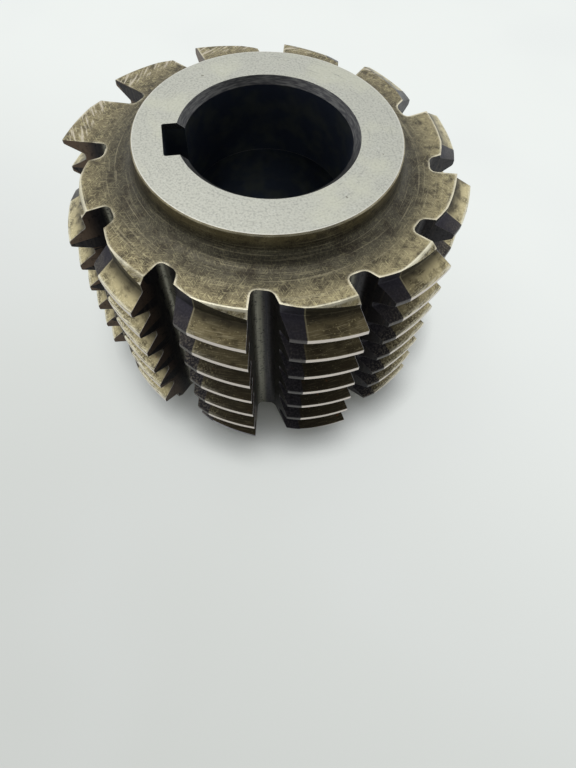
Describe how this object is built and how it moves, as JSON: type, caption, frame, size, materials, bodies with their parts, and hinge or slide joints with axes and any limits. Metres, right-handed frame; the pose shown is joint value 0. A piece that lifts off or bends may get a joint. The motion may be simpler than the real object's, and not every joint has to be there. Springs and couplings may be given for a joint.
{
  "type": "gear hob",
  "caption": "Gear-cutting hob with relieved rack teeth wound round a short hubbed body, for a keyed arbor.",
  "frame": {"origin": "on the bore's axis, in the plane of the lower hub face that the hob stands on", "axes": "+Z along the bore axis to the upper hub face, -X through the middle of the keyway; seen from +Z the cutting faces look counter-clockwise"},
  "size_m": [0.0547, 0.0547, 0.04],
  "materials": {
    "gear_hob": "ground high-speed steel with an oily brown film"
  },
  "bodies": {
    "root": {"gear_hob": "gear_hob"}
  },
  "joints": []
}
